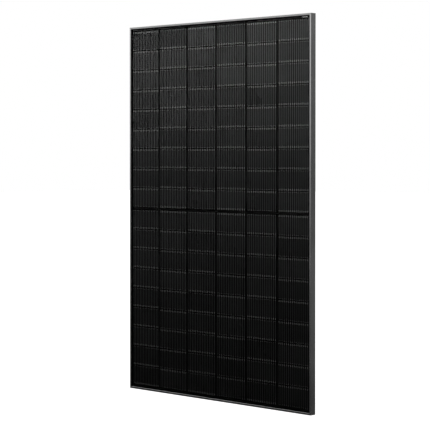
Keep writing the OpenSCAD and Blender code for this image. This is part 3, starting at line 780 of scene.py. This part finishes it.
# %% World
world = bpy.data.worlds.new("studio")
scene.world = world
world.use_nodes = True
world.cycles.sampling_method = "NONE"  # each kind of ray then meets its own light
sky = world.node_tree
sky.nodes.clear()
CAMERA_AZIMUTH = 43.91


def ramp(tree, value, stops):
    """Brightness by height, as pairs of height and brightness."""
    node = put(tree, "ShaderNodeValToRGB", [("Fac", value)])
    while len(node.color_ramp.elements) < len(stops):
        node.color_ramp.elements.new(0.5)
    for element, (position, brightness) in zip(node.color_ramp.elements, stops):
        element.position = position
        element.color = (brightness, brightness, brightness, 1.0)
    return node.outputs[0]


way = put(sky, "ShaderNodeSeparateXYZ", [(0, put(sky, "ShaderNodeTexCoord").outputs["Generated"])]).outputs
RAMP_REACH = 0.25
level = spread(sky, way["Z"], -RAMP_REACH, RAMP_REACH, 0.0, 1.0)
MIRRORED = [(0.18, 0.01), (0.32, 0.07), (0.38, 0.13), (0.444, 0.21), (0.5, 0.32), (0.566, 0.57),
            (0.63, 0.8), (0.68, 0.9), (1.0, 0.8)]
BEHIND = [(0.0, 0.1), (0.18, 0.11), (0.26, 0.33), (0.32, 0.75), (0.38, 0.42), (0.444, 0.28), (0.5, 0.38),
          (0.566, 0.43), (0.63, 0.6), (0.67, 0.95), (1.0, 0.9)]
MIRRORED_GAIN = 1.9
BEHIND_GAIN = 0.4
CEILING_GAIN = 1.8
FRONT_SHARE = 0.04
ROOM_LIGHT = 0.2
REAR_LIGHT = 1.5
LOBE = (0.55, 0.85)
CEILING = (0.35, 0.6)
REARWARD = (-0.1, 0.2)
mirrored = times(sky, ramp(sky, level, MIRRORED), MIRRORED_GAIN)
to_back = spread(sky, way["Y"], *REARWARD, FRONT_SHARE, 1.0)
elsewhere = times(sky, times(sky, ramp(sky, level, BEHIND), BEHIND_GAIN), to_back)
ceiling = times(sky, spread(sky, way["Z"], *CEILING, 0.0, 1.0), CEILING_GAIN)
aim = (-math.sin(math.radians(CAMERA_AZIMUTH)), -math.cos(math.radians(CAMERA_AZIMUTH)))
towards = calc(sky, "ADD", times(sky, way["X"], aim[0]), times(sky, way["Y"], aim[1]))
lobe = spread(sky, towards, *LOBE, 0.0, 1.0)
gloss_light = calc(sky, "ADD", times(sky, mirrored, lobe),
                   times(sky, elsewhere, calc(sky, "SUBTRACT", 1.0, lobe)))
rays = put(sky, "ShaderNodeLightPath").outputs
gloss_light = calc(sky, "ADD", gloss_light, ceiling)
room_light = spread(sky, way["Y"], 0.0, 0.6, ROOM_LIGHT, REAR_LIGHT)
brightness = calc(sky, "ADD", times(sky, rays["Is Glossy Ray"], gloss_light),
                  times(sky, calc(sky, "SUBTRACT", 1.0, rays["Is Glossy Ray"]), room_light))
unseen = times(sky, brightness, calc(sky, "SUBTRACT", 1.0, rays["Is Camera Ray"]))
brightness = calc(sky, "ADD", unseen, rays["Is Camera Ray"])
room = put(sky, "ShaderNodeBackground", [("Color", (1, 1, 1, 1)), ("Strength", brightness)])
put(sky, "ShaderNodeOutputWorld", [("Surface", room.outputs[0])])

# %% [markdown]
# The floor is a plain pale sheet that glows, so it stays as white as the room. A big soft lamp hangs
# high in front, on the left.

# %% Floor and lamp
FLOOR_SIZE = 60.0
FLOOR_GAP = 0.5 * MM
bpy.ops.mesh.primitive_plane_add(size=FLOOR_SIZE, location=(0, 0, cad_low.z - FLOOR_GAP))
floor = bpy.context.object
floor.name = "floor"
floor_paint = bpy.data.materials.new("floor_paint")
floor_paint.use_nodes = True
floor_shader = floor_paint.node_tree.nodes["Principled BSDF"]
floor_shader.inputs["Base Color"].default_value = grey(0.12)
floor_shader.inputs["Emission Color"].default_value = grey(1.0)
floor_shader.inputs["Emission Strength"].default_value = 1.0
floor.data.materials.append(floor_paint)
floor.visible_glossy = False
floor.visible_diffuse = False

LAMP_ENERGY = 40.0
LAMP_SIZE = (3.0, 2.0)
LAMP_PLACE = (-2.5, -3.5, 3.5)
LAMP_AIM = (0, 0, 0.3)
lamp_data = bpy.data.lights.new("soft_lamp", "AREA")
lamp_data.shape = "RECTANGLE"
lamp_data.size, lamp_data.size_y = LAMP_SIZE
lamp_data.energy = LAMP_ENERGY
lamp = bpy.data.objects.new("soft_lamp", lamp_data)
lamp.location = LAMP_PLACE
lamp.rotation_euler = (Vector(LAMP_AIM) - lamp.location).to_track_quat("-Z", "Y").to_euler()
lamp.visible_glossy = False
scene.collection.objects.link(lamp)

# %% [markdown]
# The camera stands well back on the right, a little above the middle of the module, with a long lens. Its
# place, tilt, lens and shift were solved from where the frame's four corners have to appear.

# %% Camera
CAMERA_PLACE = (4.8469, -5.0667, 0.2603)
CAMERA_TILT = 89.0
CAMERA_LENS = 129.35
CAMERA_SHIFT = -0.0799
eye = bpy.data.cameras.new("eye")
eye.sensor_width = 36.0
eye.lens = CAMERA_LENS
eye.shift_y = CAMERA_SHIFT
camera = bpy.data.objects.new("eye", eye)
camera.location = CAMERA_PLACE
camera.rotation_euler = (math.radians(CAMERA_TILT), 0.0, math.radians(CAMERA_AZIMUTH))
scene.collection.objects.link(camera)
scene.camera = camera
